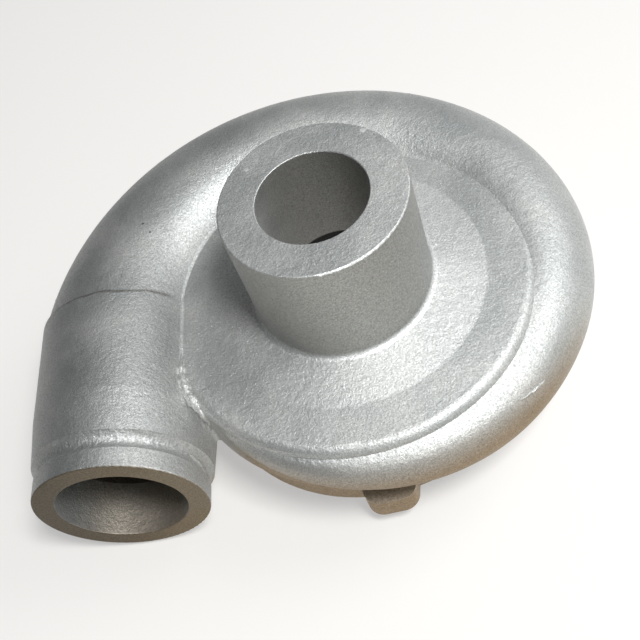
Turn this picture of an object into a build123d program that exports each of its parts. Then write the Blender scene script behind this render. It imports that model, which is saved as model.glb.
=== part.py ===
from build123d import *
import os
from math import cos, radians, sin, sqrt

# Volute casing of an end-suction centrifugal pump, one raw casting in millimetres.
# The shaft axis is Z and the suction boss points up. The rear neck ends on z = 0, and the
# origin is the centre of its opening. The discharge nozzle points along -Y on the -X side.
# The scroll grows anticlockwise, seen from the boss, from its tongue round to the nozzle.

# Driving dimensions: suction boss and front wall
suction_bore = 50.0
boss_diameter = 84.0
boss_height = 60.5
boss_foot_fillet = 3.0
front_height = 61.0
cone_diameter = 134.0
cone_drop = 2.7
face_drop = 0.8
wall = 6.0

# Driving dimensions: drum round the impeller and rear neck
drum_diameter = 177.0
drum_rear = 21.0
rim_round = 5.0
chamber_wall = 7.0
neck_diameter = 164.5
rear_opening = 150.0
shoulder = 6.0

# Driving dimensions: scroll
tongue_angle = 215.0
start_angle = 225.5
throat_angle = 540.0
section_count = 16
passage_start = 4.5
throat_radius = 43.1
growth = 0.70
scroll_drop = 28.4
scroll_front_drop = 7.5
spine_start = 84.7
spine_rate = 1.36
spine_softness = 1.0

# Driving dimensions: soft blend between the scroll and the front wall
blend_start = 378.0
blend_end = 537.5
blend_count = 12
blend_wide = 9.0
blend_narrow = 3.0
blend_overlap = 0.15
blend_lift = 0.25
blend_depth = 3.0

# Driving dimensions: discharge nozzle
nozzle_offset = 115.3
nozzle_reach = 84.7
nozzle_radius = 43.6
nozzle_fillet = 2.0
nozzle_taper = 21.3
seam = 7.0
lip_radius = 42.4
groove_length = 8.0
groove_depth = 1.5
collar_radius = 40.8
collar_length = 9.4
discharge_bore = 61.0
bore_length = 27.0
bore_taper = 9.0

# Driving dimensions: blank fixing lugs on the rear neck
lug_count = 4
lug_angle = 274.0
lug_reach = 92.0
lug_width = 22.0
lug_root_width = 28.0
lug_corner = 8.0
lug_height = 12.0

# Driving dimensions: small rounds on the outer and inner edges of the two ports
port_round = 0.8
bore_round = 0.5

# Largest difference between two radii that count as the same
radius_match = 0.0001

# Sizes that follow from the ones above
bore_radius = suction_bore / 2
boss_radius = boss_diameter / 2
boss_top = front_height + boss_height
cone_radius = cone_diameter / 2
drum_radius = drum_diameter / 2
neck_radius = neck_diameter / 2
opening_radius = rear_opening / 2
outlet_radius = discharge_bore / 2
groove_end = nozzle_reach - collar_length
lip = groove_end - groove_length
chamber_radius = drum_radius - chamber_wall
face_height = front_height - cone_drop
rim_height = face_height - face_drop
scroll_height = front_height - scroll_drop
scroll_front = front_height - scroll_front_drop
spine_offset = nozzle_offset - spine_rate * throat_radius


def soft_max(a, b):
    """The larger of two lengths, with a rounded change from one to the other."""
    return (a + b + sqrt((a - b) ** 2 + spine_softness**2)) / 2


def scroll_section(angle):
    """Radius, distance from the shaft and height of the round scroll section at an angle."""
    turn = (angle - tongue_angle) / (throat_angle - tongue_angle)
    radius = throat_radius * turn**growth
    spine = soft_max(spine_start, spine_offset + spine_rate * radius)
    height = soft_max(scroll_height, scroll_front - radius)
    return radius, spine, height


def section_plane(angle):
    """Upright plane through the shaft at an angle, with x outwards and y up."""
    outward = Vector(cos(radians(angle)), sin(radians(angle)), 0)
    backward = Vector(sin(radians(angle)), -cos(radians(angle)), 0)
    return Plane(origin=(0, 0, 0), x_dir=outward, z_dir=backward)


def spread(first, last, count):
    """Evenly spaced values from the first to the last."""
    return [first + (last - first) * index / (count - 1) for index in range(count)]


def scroll_tube(inset=0.0, smallest=0.0):
    """Scroll lofted through round sections, each drawn smaller by the inset."""
    sections = []
    for angle in spread(start_angle, throat_angle, section_count):
        radius, spine, height = scroll_section(angle)
        if radius - inset >= smallest:
            sections.append(section_plane(angle) * Pos(spine, height) * Circle(radius - inset))
    return loft(sections)


def blend_section(angle):
    """Hollow-curved wedge that leads from the front wall up on to the scroll."""
    radius, spine, height = scroll_section(angle)
    turn = (angle - blend_start) / (blend_end - blend_start)
    hollow = blend_wide + (blend_narrow - blend_wide) * turn**2
    level = rim_height + blend_lift
    centre_height = level + hollow - blend_overlap
    reach = radius + hollow - blend_overlap
    centre = Vector(spine - sqrt(reach**2 - (centre_height - height) ** 2), centre_height, 0)
    down = Vector(0, -1, 0)
    across = (Vector(spine, height, 0) - centre).normalized()
    foot = centre + down * hollow
    middle = centre + (down + across).normalized() * hollow
    shoulder_point = centre + across * hollow
    deep = Vector(shoulder_point.X, foot.Y - blend_depth, 0)
    outline = ThreePointArc(foot, middle, shoulder_point)
    outline += Line(shoulder_point, deep) + Line(deep, foot)
    return section_plane(angle) * make_face(outline)


def scroll_blend():
    """Soft blend lofted along the inner side of the scroll."""
    return loft([blend_section(angle) for angle in spread(blend_start, blend_end, blend_count)])


def turned(outline):
    """Solid of revolution about the shaft from an outline in radius and height."""
    return revolve(Plane.XZ * make_face(outline), Axis.Z, 360)


def rings(body, radius):
    """Circular edges of one radius, from the lowest to the highest."""
    circles = body.edges().filter_by(GeomType.CIRCLE)
    return circles.filter_by(lambda edge: abs(edge.radius - radius) < radius_match).sort_by(Axis.Z)


def casing_outside():
    """Boss, sloping front wall, drum with its rounded rim, and rear neck."""
    rear_round = drum_radius - neck_radius
    rim = CenterArc((drum_radius - rim_round, rim_height - rim_round), rim_round, 0, 90)
    rear = CenterArc((neck_radius, drum_rear + rear_round), rear_round, -90, 90)
    outline = Line((0, 0), (neck_radius, 0))
    outline += Line((neck_radius, 0), (neck_radius, drum_rear))
    outline += rear
    outline += Line(rear @ 1, rim @ 0)
    outline += rim
    outline += Line(rim @ 1, (cone_radius, face_height))
    outline += Line((cone_radius, face_height), (boss_radius, front_height))
    outline += Line((boss_radius, front_height), (boss_radius, boss_top))
    outline += Line((boss_radius, boss_top), (0, boss_top))
    outline += Line((0, boss_top), (0, 0))
    body = turned(outline)
    body = fillet(rings(body, boss_radius)[0], boss_foot_fillet)
    return fillet(rings(body, boss_radius)[-1], port_round)


def chamber():
    """Rear opening and impeller chamber under the front wall."""
    inner_face = face_height - wall
    outline = Polyline(
        (0, 0),
        (opening_radius, 0),
        (opening_radius, drum_rear + shoulder),
        (chamber_radius, drum_rear + shoulder),
        (chamber_radius, rim_height - wall),
        (cone_radius, inner_face),
        (boss_radius, front_height - wall),
        (0, front_height - wall),
        close=True,
    )
    return turned(outline)


def along_nozzle(outline):
    """Solid of revolution about the nozzle axis from an outline in radius and reach."""
    radius, spine, height = scroll_section(throat_angle)
    plane = Plane(origin=(-spine, 0, height), x_dir=(1, 0, 0), z_dir=(0, 0, 1))
    # The outline lies in the X and -Y half plane, so its reach is drawn downwards
    return revolve(plane * make_face(outline), Axis((-spine, 0, height), (0, -1, 0)), 360)


def nozzle_outside():
    """Straight nozzle, its rounded lip, the cast groove and the plain collar."""
    taper_start = (nozzle_radius, nozzle_taper - lip)
    dip = (collar_radius - groove_depth, -(lip + groove_end) / 2)
    groove = ThreePointArc((lip_radius, -lip), dip, (collar_radius, -groove_end))
    outline = Line((0, seam), (nozzle_radius, seam))
    outline += Line((nozzle_radius, seam), taper_start)
    outline += Line(taper_start, groove @ 0)
    outline += groove
    outline += Line(groove @ 1, (collar_radius, -nozzle_reach))
    outline += Line((collar_radius, -nozzle_reach), (0, -nozzle_reach))
    outline += Line((0, -nozzle_reach), (0, seam))
    body = along_nozzle(outline)
    return fillet(rings(body, collar_radius).sort_by(Axis.Y)[0], port_round)


def nozzle_inside():
    """Passage from the throat that narrows to the thick-walled discharge bore."""
    throat = throat_radius - wall
    taper_end = nozzle_reach - bore_length
    outline = Polyline(
        (0, 0),
        (throat, 0),
        (throat, -(taper_end - bore_taper)),
        (outlet_radius, -taper_end),
        (outlet_radius, -nozzle_reach),
        (0, -nozzle_reach),
        close=True,
    )
    return along_nozzle(outline)


def drum_with_nozzle():
    """Drum and nozzle joined, with a casting radius in the corner above the rear neck."""
    drum = casing_outside()
    nozzle = nozzle_outside()
    joined = drum + nozzle
    corner = new_edges(drum, nozzle, combined=joined).filter_by(
        lambda edge: (edge @ 0.5).Y < seam - wall / 2 and (edge @ 0.5).Z > drum_rear
    )
    return fillet(corner, nozzle_fillet)


def lug(angle):
    """Blank lug on the rear neck, drawn from above and raised."""
    root = neck_radius - wall
    outline = Polyline(
        (root, -lug_root_width / 2),
        (lug_reach, -lug_width / 2),
        (lug_reach, lug_width / 2),
        (root, lug_root_width / 2),
        close=True,
    )
    face = make_face(outline)
    tips = face.vertices().sort_by(Axis.X)[-2:]
    face = fillet(tips, lug_corner)
    return Rot(0, 0, angle) * extrude(face, lug_height)


def waterway():
    """Everything that is hollow: chamber, scroll passage, nozzle and suction bore."""
    suction = Pos(0, 0, front_height - wall) * Cylinder(
        bore_radius, boss_height + wall, align=(Align.CENTER, Align.CENTER, Align.MIN)
    )
    return chamber() + scroll_tube(wall, passage_start) + nozzle_inside() + suction


body = drum_with_nozzle() + scroll_tube() + scroll_blend()
for index in range(lug_count):
    body = body + lug(lug_angle + 360 / lug_count * index)
casing = body - waterway()
casing = fillet(rings(casing, bore_radius)[-1], bore_round)
casing = fillet(rings(casing, outlet_radius).sort_by(Axis.Y)[0], bore_round)

os.makedirs("parts", exist_ok=True)
export_step(casing, "parts/volute_casing.step")
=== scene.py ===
import math
import random

import bpy
from mathutils import Matrix, Vector
from mathutils.noise import turbulence


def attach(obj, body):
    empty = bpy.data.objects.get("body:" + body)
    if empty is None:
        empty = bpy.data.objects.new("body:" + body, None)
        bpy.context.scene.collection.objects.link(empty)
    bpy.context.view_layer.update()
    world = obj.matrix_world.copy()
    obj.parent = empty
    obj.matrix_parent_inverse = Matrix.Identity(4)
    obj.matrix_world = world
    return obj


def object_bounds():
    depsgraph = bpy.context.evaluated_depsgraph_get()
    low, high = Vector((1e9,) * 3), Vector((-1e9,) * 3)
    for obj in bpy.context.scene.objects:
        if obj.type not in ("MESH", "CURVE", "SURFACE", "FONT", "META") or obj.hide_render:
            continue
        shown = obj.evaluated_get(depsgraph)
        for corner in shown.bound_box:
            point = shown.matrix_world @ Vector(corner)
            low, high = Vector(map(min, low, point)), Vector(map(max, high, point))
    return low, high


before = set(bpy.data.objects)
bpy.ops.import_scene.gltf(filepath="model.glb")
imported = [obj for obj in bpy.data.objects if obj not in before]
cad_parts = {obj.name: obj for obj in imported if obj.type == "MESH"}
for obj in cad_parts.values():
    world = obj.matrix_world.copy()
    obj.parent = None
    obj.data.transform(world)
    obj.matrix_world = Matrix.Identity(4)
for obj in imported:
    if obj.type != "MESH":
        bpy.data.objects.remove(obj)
cad_box = [list(corner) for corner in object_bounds()]
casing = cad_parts["volute_casing"]

# Places on the casting in millimetres, the same as in the part's source
NOZZLE_X = -115.308
NOZZLE_Z = 32.611
SEAM = 7.0
LIP = 67.3
LIP_RADIUS = 42.4
GROOVE_RADIUS = 39.3
GROOVE_END = 75.3
COLLAR_RADIUS = 40.8

# Centre lines of the beads and of a scuffed ridge on the scroll, in millimetres
CORNER = [
    (-79.6, -24, 57.6), (-79.2, -33.6, 57.9), (-77.9, -39.8, 57.0), (-75.9, -46.3, 55.4),
    (-73.9, -50.5, 53.9), (-71.8, -53.8, 51.6), (-71.3, -55.3, 44.5), (-71.5, -55.3, 36.6),
]
FLASH = CORNER[1:6]
GROOVE_BEAD = [(-78.8, -70.6, 46.0), (-76.6, -71.6, 41.5), (-75.8, -72.6, 37.0), (-76.0, -73.6, 32.0)]
SCUFF = [(70.4, -70.0, 46.8), (76.0, -66.2, 45.2), (82.4, -60.5, 43.8)]

BEAD_SIDES = 14
GROOVE_AROUND = 540
GROOVE_ACROSS = 12
GRAIN_SIDES = 6
GRAIN_SEED = 5

# Middle of the front wall near the corner, and how far from it the corner's own grains lie
CORNER_WALL = (-72, -30, 56)
CORNER_REACH = 34

# Colours of the skin, from the darkest cloud to the lightest, and of the marks mixed into it: the
# seam and pits, and painted shade, painted reflection and painted highlights
SKIN_CLOUDS = [(0.3, (0.50, 0.52, 0.515)), (0.5, (0.57, 0.585, 0.575)), (0.72, (0.65, 0.655, 0.64))]
PAINTED_WARM_REFLECTION = (0.36, 0.33, 0.28)
PAINTED_BOSS_SHADE = (0.34, 0.34, 0.32)
SHADE_GREY = (0.20, 0.20, 0.19)
PAINTED_LOW_SHADE_TAN = (0.40, 0.29, 0.17)
PAINTED_UNDERSIDE_BROWN = (0.34, 0.26, 0.17)
PAINTED_END_FACE_BROWN = (0.24, 0.18, 0.10)
PAINTED_SLOPE_HIGHLIGHT = (0.85, 0.86, 0.85)
SEAM_BROWN = (0.10, 0.09, 0.07)
PAINTED_SHADE_BLACK = (0.02, 0.02, 0.02)
PAINTED_BORE_SHADOW = (0.01, 0.01, 0.01)
PIT = (0.03, 0.03, 0.03)
BRIGHT = (1.0, 1.0, 0.98)
PAINTED_FLASH_HIGHLIGHT = (0.82, 0.83, 0.81)

# Small marks on the skin, and painted highlight spots on the corner flash: centre and radius in
# millimetres, and colour
SPOTS = [
    ((-95.8, 47.1, 72.7), 0.8, PIT),
    ((-92.2, 41.7, 71.9), 0.7, PIT),
    ((24.4, 31.8, 121.5), 1.7, BRIGHT),
    ((-28.3, 22.3, 121.5), 1.3, BRIGHT),
]
# Painted highlight: pale spots along the corner flash, where the bead catches the light
SPOTS += [(point, 3.4, PAINTED_FLASH_HIGHLIGHT) for point in FLASH]
SPOT_SHARE = 0.8

# The photograph's camera in the casting's own frame, in metres
CAMERA_PLACE = (0.06979, -0.30262, 0.45980)
CAMERA_RIGHT = (0.97129, -0.04834, -0.23293)
CAMERA_DOWN = (-0.17158, -0.82057, -0.54518)
CAMERA_FORWARD = (-0.16478, 0.56950, -0.80531)
CAMERA_LENS = 61.18
LAMP_TARGET = (-0.03, 0.0, 0.04)

FLOOR_COLOUR = (0.80, 0.78, 0.745)
FLOOR_GLOW = 0.42
SKY_COLOUR = (0.97, 0.985, 1.0)


def grey(value):
    return (value, value, value)


def parts_of(tree, vector):
    """The three components of a vector."""
    made = tree.nodes.new("ShaderNodeSeparateXYZ")
    tree.links.new(vector, made.inputs[0])
    return made.outputs


def math_node(tree, operation, first, second=None, clamp=False):
    """A sum, product or the like of two values, each a number or a socket."""
    made = tree.nodes.new("ShaderNodeMath")
    made.operation = operation
    made.use_clamp = clamp
    for socket, value in zip(made.inputs, (first, second)):
        if value is None:
            continue
        if isinstance(value, (int, float)):
            socket.default_value = value
        else:
            tree.links.new(value, socket)
    return made.outputs[0]


def times(tree, first, *factors):
    """The product of several values."""
    for factor in factors:
        first = math_node(tree, "MULTIPLY", first, factor)
    return first


def span(tree, value, low, high, to_low=0.0, to_high=1.0):
    """A value's range from low to high mapped on to another range, held at its ends."""
    made = tree.nodes.new("ShaderNodeMapRange")
    made.interpolation_type = "SMOOTHSTEP"
    for socket, amount in zip(list(made.inputs)[1:5], (low, high, to_low, to_high)):
        socket.default_value = amount
    tree.links.new(value, made.inputs["Value"])
    return made.outputs["Result"]


def rise(tree, value, low, high, most=1.0):
    """A share that grows from none to the most over two places in millimetres."""
    return span(tree, value, low / 1000, high / 1000, 0.0, most)


def fall(tree, value, low, high, most=1.0):
    """A share that drops from the most to none over two places in millimetres."""
    return span(tree, value, low / 1000, high / 1000, most, 0.0)


def within(tree, square, low, high):
    """A share that is full inside a radius: square is the distance squared, in metres."""
    return span(tree, square, (low / 1000)**2, (high / 1000)**2, 1.0, 0.0)


def ramp(tree, value, stops):
    """A colour ramp over a value; each stop is a position and a colour."""
    made = tree.nodes.new("ShaderNodeValToRGB")
    while len(made.color_ramp.elements) < len(stops):
        made.color_ramp.elements.new(0.5)
    for element, (position, colour) in zip(made.color_ramp.elements, stops):
        element.position = position
        element.color = (*colour, 1)
    tree.links.new(value, made.inputs["Fac"])
    return made.outputs["Color"]


def noise(tree, place, scale, detail=2.0, roughness=0.5, distortion=0.0):
    """Noise over the object's own coordinates, scale in features a metre."""
    made = tree.nodes.new("ShaderNodeTexNoise")
    made.inputs["Scale"].default_value = scale
    made.inputs["Detail"].default_value = detail
    made.inputs["Roughness"].default_value = roughness
    made.inputs["Distortion"].default_value = distortion
    tree.links.new(place, made.inputs["Vector"])
    return made.outputs["Fac"]


def mix(tree, share, first, second, blend="MIX"):
    """Two colours mixed, the second one by its share."""
    made = tree.nodes.new("ShaderNodeMix")
    made.data_type = "RGBA"
    made.blend_type = blend
    sockets = [made.inputs[0], made.inputs[6], made.inputs[7]]
    for socket, value in zip(sockets, (share, first, second)):
        if isinstance(value, (int, float)):
            socket.default_value = value
        elif isinstance(value, tuple):
            socket.default_value = (*value, 1)
        else:
            tree.links.new(value, socket)
    return made.outputs[2]


def bump(tree, height, distance, strength, under=None):
    """A normal roughened by a height, on top of the one under it."""
    made = tree.nodes.new("ShaderNodeBump")
    made.inputs["Strength"].default_value = strength
    made.inputs["Distance"].default_value = distance
    tree.links.new(height, made.inputs["Height"])
    if under is not None:
        tree.links.new(under, made.inputs["Normal"])
    return made.outputs["Normal"]


def painted_light_and_seam(tree, place):
    """Colours that depend on the place on the casting: painted shade, painted reflection and painted
    highlights, and the dark seam; each one's share, then the colour.
    """
    facing = parts_of(tree, tree.nodes.new("ShaderNodeTexCoord").outputs["Normal"])
    at = parts_of(tree, place)
    square = math_node(tree, "ADD", times(tree, at["X"], at["X"]), times(tree, at["Y"], at["Y"]))
    blotch = span(tree, noise(tree, place, 9, 2, 0.5, 0.3), 0.35, 0.65, 0.6, 1.0)

    upright = span(tree, facing["Z"], 0.2, 0.75, 1.0, 0.0)
    front = span(tree, facing["Y"], -0.9, -0.1, 1.0, 0.0)
    height_share = span(tree, at["Z"], 0.058, 0.066, 0.15, 0.6)
    boss = times(tree, upright, rise(tree, at["Z"], 58, 66))
    boss_right = rise(tree, at["X"], -10, 35, 0.5)

    low_shade = times(tree, fall(tree, at["Z"], 6, 26), blotch, 0.8)
    under_front_shade = span(tree, facing["Y"], -0.75, -0.25, 0.95, 0.0)
    under_front_shade = times(tree, under_front_shade, fall(tree, at["Z"], 36, 56), rise(tree, at["X"], -68, -50))

    end_face = times(tree, front, fall(tree, at["Y"], -84.6, -83.5), fall(tree, at["X"], -72, -68))
    pipe = math_node(tree, "MAXIMUM", fall(tree, at["X"], -86, -76),
                     span(tree, square, 0.088**2, 0.1**2))
    lit_slope = times(tree, within(tree, square, 65.5, 67.5), rise(tree, at["Z"], 56.5, 58),
                  fall(tree, at["Z"], 61.5, 63), rise(tree, at["X"], -60, 20, 0.45))

    wander = span(tree, noise(tree, place, 60), 0.3, 0.7, -0.0007, 0.0007)
    off_seam = math_node(tree, "SUBTRACT", math_node(tree, "ADD", at["Y"], wander), SEAM / 1000)
    seam = times(tree, fall(tree, math_node(tree, "ABSOLUTE", off_seam), 0.2, 1.5),
                 fall(tree, at["X"], -86, -82), 0.6)
    bore_shadow = times(tree, within(tree, square, 26, 27), fall(tree, at["Z"], 65.5, 66.5), 0.93)

    return [
        # Painted warm reflection: a brown-grey tint on front-facing walls, strongest on the boss
        (times(tree, upright, front, blotch, height_share), PAINTED_WARM_REFLECTION),
        # Painted shade: the boss's sides darkened, and its right side darker still
        (times(tree, boss, 0.4), PAINTED_BOSS_SHADE),
        (times(tree, boss, boss_right), SHADE_GREY),
        # Painted tan shade and reflection on the lowest parts, under the scroll
        (low_shade, PAINTED_LOW_SHADE_TAN),
        # Painted brown shade and reflection on the front and down-facing side of the scroll
        (under_front_shade, PAINTED_UNDERSIDE_BROWN),
        # Painted dark brown shade and reflection on the nozzle's end face
        (times(tree, end_face, 0.85), PAINTED_END_FACE_BROWN),
        # Painted shade: the end face, the nozzle pipe and the scroll's outer ring darkened, most
        # towards the left
        (times(tree, end_face, fall(tree, at["X"], -150, -85, 0.5)), PAINTED_SHADE_BLACK),
        (times(tree, pipe, fall(tree, at["X"], -100, 40, 0.2)), PAINTED_SHADE_BLACK),
        # Painted highlight: a pale ring on the slope at the boss's foot, brighter towards the right
        (lit_slope, PAINTED_SLOPE_HIGHLIGHT),
        (seam, SEAM_BROWN),
        # Painted shadow: the suction bore's wall below about 66 mm height darkened nearly black,
        # standing in for the shade deep in the bore
        (bore_shadow, PAINTED_BORE_SHADOW),
    ]


def spots(tree, place):
    """The small marks on the skin and the painted highlight spots on the corner flash: each one's
    share, soft over its outer half, and its colour.
    """
    marks = []
    for centre, radius, colour in SPOTS:
        away = tree.nodes.new("ShaderNodeVectorMath")
        away.operation = "DISTANCE"
        tree.links.new(place, away.inputs[0])
        away.inputs[1].default_value = tuple(value / 1000 for value in centre)
        share = fall(tree, away.outputs["Value"], radius / 2, radius)
        marks.append((times(tree, share, SPOT_SHARE), colour))
    return marks


def cast_steel(name):
    """Shot-blasted cast steel: fine sparkling grain, faint lumps, cool grey with painted warm
    reflection, painted shade and painted highlights in its colour.
    """
    material = bpy.data.materials.new(name)
    material.use_nodes = True
    tree = material.node_tree
    shader = tree.nodes["Principled BSDF"]
    place = tree.nodes.new("ShaderNodeTexCoord").outputs["Object"]

    fine = noise(tree, place, 2300, 2, 0.6)
    coarse = noise(tree, place, 1050, 2, 0.6)
    lumps = noise(tree, place, 300, 3, 0.55)
    cloud = noise(tree, place, 22, 3, 0.55, 0.4)

    body = ramp(tree, cloud, SKIN_CLOUDS)
    for share, colour in painted_light_and_seam(tree, place) + spots(tree, place):
        body = mix(tree, share, body, colour)
    speckle = ramp(tree, coarse, [(0.33, grey(0.78)), (0.5, grey(0.98)), (0.7, grey(1.15))])
    body = mix(tree, 0.75, body, speckle, "MULTIPLY")
    glint = ramp(tree, fine, [(0.36, grey(0.74)), (0.5, grey(1.0)), (0.66, grey(1.25))])
    body = mix(tree, 0.8, body, glint, "MULTIPLY")
    tree.links.new(body, shader.inputs["Base Color"])

    gloss = math_node(tree, "ADD", span(tree, coarse, 0.3, 0.7, 0.66, 0.52),
                      span(tree, cloud, 0.3, 0.7, -0.04, 0.06))
    tree.links.new(gloss, shader.inputs["Roughness"])
    shader.inputs["Metallic"].default_value = 0.92

    normal = bump(tree, lumps, 0.0006, 0.5)
    normal = bump(tree, coarse, 0.0003, 0.6, normal)
    normal = bump(tree, fine, 0.00015, 0.6, normal)
    tree.links.new(normal, shader.inputs["Normal"])
    return material


def piece(name, points, faces):
    """A smooth mesh on the casting, from points in millimetres."""
    mesh = bpy.data.meshes.new(name)
    mesh.from_pydata([tuple(value / 1000 for value in point) for point in points], [], faces)
    mesh.polygons.foreach_set("use_smooth", [True] * len(mesh.polygons))
    mesh.materials.append(steel)
    made = bpy.data.objects.new(name, mesh)
    bpy.context.scene.collection.objects.link(made)
    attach(made, "root")
    return made


def lumps_at(x, y, z):
    """Smooth random height between -1 and 1 at a place in millimetres."""
    return turbulence(Vector((x, y, z)), 3, False)


def ring_faces(rows, columns):
    """Quads of a grid of points whose last column joins its first."""
    faces = []
    for row in range(rows - 1):
        for column in range(columns):
            after = (column + 1) % columns
            faces.append((row * columns + column, row * columns + after,
                          (row + 1) * columns + after, (row + 1) * columns + column))
    return faces


def bead(name, path, width, steps=10):
    """Lumpy weld-like bead along a path, half sunk in the skin, each point in millimetres."""
    stations = []
    for first, last in zip(path, path[1:]):
        stations += [Vector(first).lerp(Vector(last), step / steps) for step in range(steps)]
    stations.append(Vector(path[-1]))
    for index, station in enumerate(stations):
        found, nearest, normal, face = casing.closest_point_on_mesh(station / 1000)
        stations[index] = nearest * 1000 + normal * width * 0.1
    points = []
    for index, centre in enumerate(stations):
        along = stations[min(index + 1, len(stations) - 1)] - stations[max(index - 1, 0)]
        across = along.cross(Vector((0.3, -0.5, 1))).normalized()
        up = across.cross(along).normalized()
        taper = math.sin(math.pi * (index + 0.4) / (len(stations) - 0.2)) ** 0.4
        for side in range(BEAD_SIDES):
            angle = 2 * math.pi * side / BEAD_SIDES
            spot = across * math.cos(angle) + up * math.sin(angle)
            rough = 1 + 0.4 * lumps_at(*(centre * 0.45 + spot * 0.9))
            points.append(centre + spot * width * taper * rough)
    return piece(name, points, ring_faces(len(stations), BEAD_SIDES))


def rough_groove(name):
    """Rough cast skin in the groove behind the collar, standing up in short ridges."""
    points = []
    for row in range(GROOVE_ACROSS + 1):
        place = row / GROOVE_ACROSS
        reach = LIP + (GROOVE_END - LIP) * place
        # Curve through the lip, the groove's middle and the collar
        radius = (LIP_RADIUS * (2 * place**2 - 3 * place + 1) + GROOVE_RADIUS * 4 * (place - place**2)
                  + COLLAR_RADIUS * (2 * place**2 - place))
        for column in range(GROOVE_AROUND):
            angle = 2 * math.pi * column / GROOVE_AROUND
            ridge = 0.8 * lumps_at(angle * 26, 0.6 * reach, 7)
            ridge += 0.8 * lumps_at(angle * 60, 1.4 * reach, 2)
            height = math.sin(math.pi * place) ** 0.7 * (0.3 + 0.3 * ridge) - 0.1
            points.append((NOZZLE_X + (radius + height) * math.cos(angle), -reach,
                           NOZZLE_Z + (radius + height) * math.sin(angle)))
    return piece(name, points, ring_faces(GROOVE_ACROSS + 1, GROOVE_AROUND))


def grains(name, count, smallest, largest, wanted):
    """Small round grains of metal half sunk in the skin, spread by area where they are wanted."""
    chance = random.Random(GRAIN_SEED)
    mesh = casing.data
    mesh.calc_loop_triangles()
    triangles = [triangle for triangle in mesh.loop_triangles
                 if wanted(triangle.center * 1000, triangle.normal)]
    areas = [triangle.area for triangle in triangles]
    points = []
    faces = []
    for triangle in chance.choices(triangles, areas, k=count):
        corners = [mesh.vertices[index].co * 1000 for index in triangle.vertices]
        first, second = sorted((chance.random(), chance.random()))
        centre = corners[0] * first + corners[1] * (second - first) + corners[2] * (1 - second)
        size = smallest + (largest - smallest) * chance.random() ** 3
        turn = triangle.normal.to_track_quat("Z", "Y")
        start = len(points)
        points.append(centre + triangle.normal * size * 0.55)
        for ring, (level, reach) in enumerate(((0.35, 0.7), (-0.1, 1.1))):
            for side in range(GRAIN_SIDES):
                angle = 2 * math.pi * (side + ring / 2) / GRAIN_SIDES
                uneven = reach * (0.8 + 0.4 * chance.random())
                offset = Vector((math.cos(angle) * uneven, math.sin(angle) * uneven, level))
                points.append(centre + turn @ (offset * size))
        inner = start + 1
        outer = inner + GRAIN_SIDES
        for side in range(GRAIN_SIDES):
            after = (side + 1) % GRAIN_SIDES
            faces.append((start, inner + side, inner + after))
            faces.append((inner + side, outer + side, outer + after, inner + after))
    return piece(name, points, faces)


def outside(centre, normal):
    """Whether a place is on the skin, away from the ports and the casting's furthest sides."""
    from_shaft = math.hypot(centre.x, centre.y)
    from_nozzle = math.hypot(centre.x - NOZZLE_X, centre.z - NOZZLE_Z)
    if from_shaft < 80 and centre.z < 56.5 or from_shaft < 26 or centre.z > 120:
        return False
    if from_nozzle < 38 and centre.y < 30 or centre.y < -82:
        return False
    low, high = (Vector(corner) * 1000 for corner in cad_box)
    return all(low[axis] + 1.5 < centre[axis] < high[axis] - 1.5 for axis in range(3))


def near_corner(centre, normal):
    """Whether a place is on the front wall near the corner with the nozzle."""
    away = (centre - Vector(CORNER_WALL)).length
    return outside(centre, normal) and away < CORNER_REACH and normal.z > 0.3


def pale_floor():
    """Large matt floor that also looks pale, but not brighter than white, to the camera."""
    bpy.ops.mesh.primitive_plane_add(size=40, location=(0, 0, cad_box[0][2]))
    floor = bpy.context.active_object
    floor.name = "floor"
    paper = bpy.data.materials.new("pale_floor")
    paper.use_nodes = True
    tree = paper.node_tree
    shader = tree.nodes["Principled BSDF"]
    shader.inputs["Base Color"].default_value = (*FLOOR_COLOUR, 1)
    shader.inputs["Roughness"].default_value = 0.9
    shader.inputs["Specular IOR Level"].default_value = 0.0
    glow = tree.nodes.new("ShaderNodeEmission")
    glow.inputs["Color"].default_value = (1, 1, 1, 1)
    glow.inputs["Strength"].default_value = 1.0
    rays = tree.nodes.new("ShaderNodeLightPath").outputs
    seen = math_node(tree, "ADD", rays["Is Camera Ray"], rays["Is Glossy Ray"])
    seen = math_node(tree, "ADD", seen, rays["Is Transmission Ray"], clamp=True)
    blend = tree.nodes.new("ShaderNodeMixShader")
    tree.links.new(times(tree, seen, FLOOR_GLOW), blend.inputs[0])
    tree.links.new(shader.outputs[0], blend.inputs[1])
    tree.links.new(glow.outputs[0], blend.inputs[2])
    tree.links.new(blend.outputs[0], tree.nodes["Material Output"].inputs["Surface"])
    floor.data.materials.append(paper)


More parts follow.
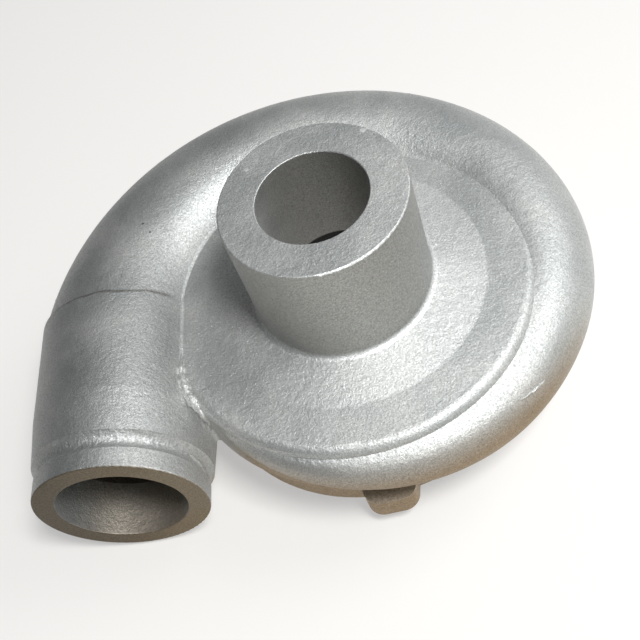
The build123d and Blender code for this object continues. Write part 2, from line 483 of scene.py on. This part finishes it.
def studio_sky():
    """Soft light from all round, stronger from the right."""
    world = bpy.data.worlds.new("studio")
    bpy.context.scene.world = world
    world.use_nodes = True
    tree = world.node_tree
    background = tree.nodes["Background"]
    sky = parts_of(tree, tree.nodes.new("ShaderNodeTexCoord").outputs["Generated"])
    background.inputs["Color"].default_value = (*SKY_COLOUR, 1)
    tree.links.new(span(tree, sky["X"], -0.9, 0.9, 0.04, 0.42), background.inputs["Strength"])


def photo_camera():
    """Camera at the photograph's viewing angle."""
    data = bpy.data.cameras.new("camera")
    data.sensor_width = 36
    data.lens = CAMERA_LENS
    data.clip_start = 0.01
    camera = bpy.data.objects.new("camera", data)
    bpy.context.scene.collection.objects.link(camera)
    bpy.context.scene.camera = camera
    axes = (Vector(CAMERA_RIGHT), -Vector(CAMERA_DOWN), -Vector(CAMERA_FORWARD))
    turn = Matrix(axes).transposed()
    camera.matrix_world = Matrix.Translation(Vector(CAMERA_PLACE)) @ turn.to_4x4()


def lamp(name, direction, distance, size, power):
    """Soft square lamp that looks at the middle of the casting."""
    data = bpy.data.lights.new(name, "AREA")
    data.size = size
    data.energy = power
    made = bpy.data.objects.new(name, data)
    bpy.context.scene.collection.objects.link(made)
    middle = Vector(LAMP_TARGET)
    made.location = middle + Vector(direction).normalized() * distance
    made.rotation_euler = (middle - made.location).to_track_quat("-Z", "Y").to_euler()


# The casting's skin
steel = cast_steel("cast_steel")
casing.data.materials.clear()
casing.data.materials.append(steel)

# Details of the casting, with widths and sizes in millimetres
bead("corner_bead", CORNER, 1.7)
bead("groove_end_bead", GROOVE_BEAD, 1.3, steps=6)
bead("corner_flash", FLASH, 2.8)
bead("scroll_scuff", SCUFF, 0.9, steps=14)
rough_groove("groove_skin")
grains("skin_grains", 900, 0.12, 0.42, outside)
grains("corner_grains", 260, 0.15, 0.5, near_corner)

# The studio
pale_floor()
studio_sky()
photo_camera()
lamp("key", direction=(0.35, -0.32, 0.89), distance=1.3, size=0.3, power=16)
lamp("side", direction=(0.9, 0.3, 0.95), distance=1.2, size=0.6, power=4)

bpy.context.scene.view_settings.view_transform = "Standard"
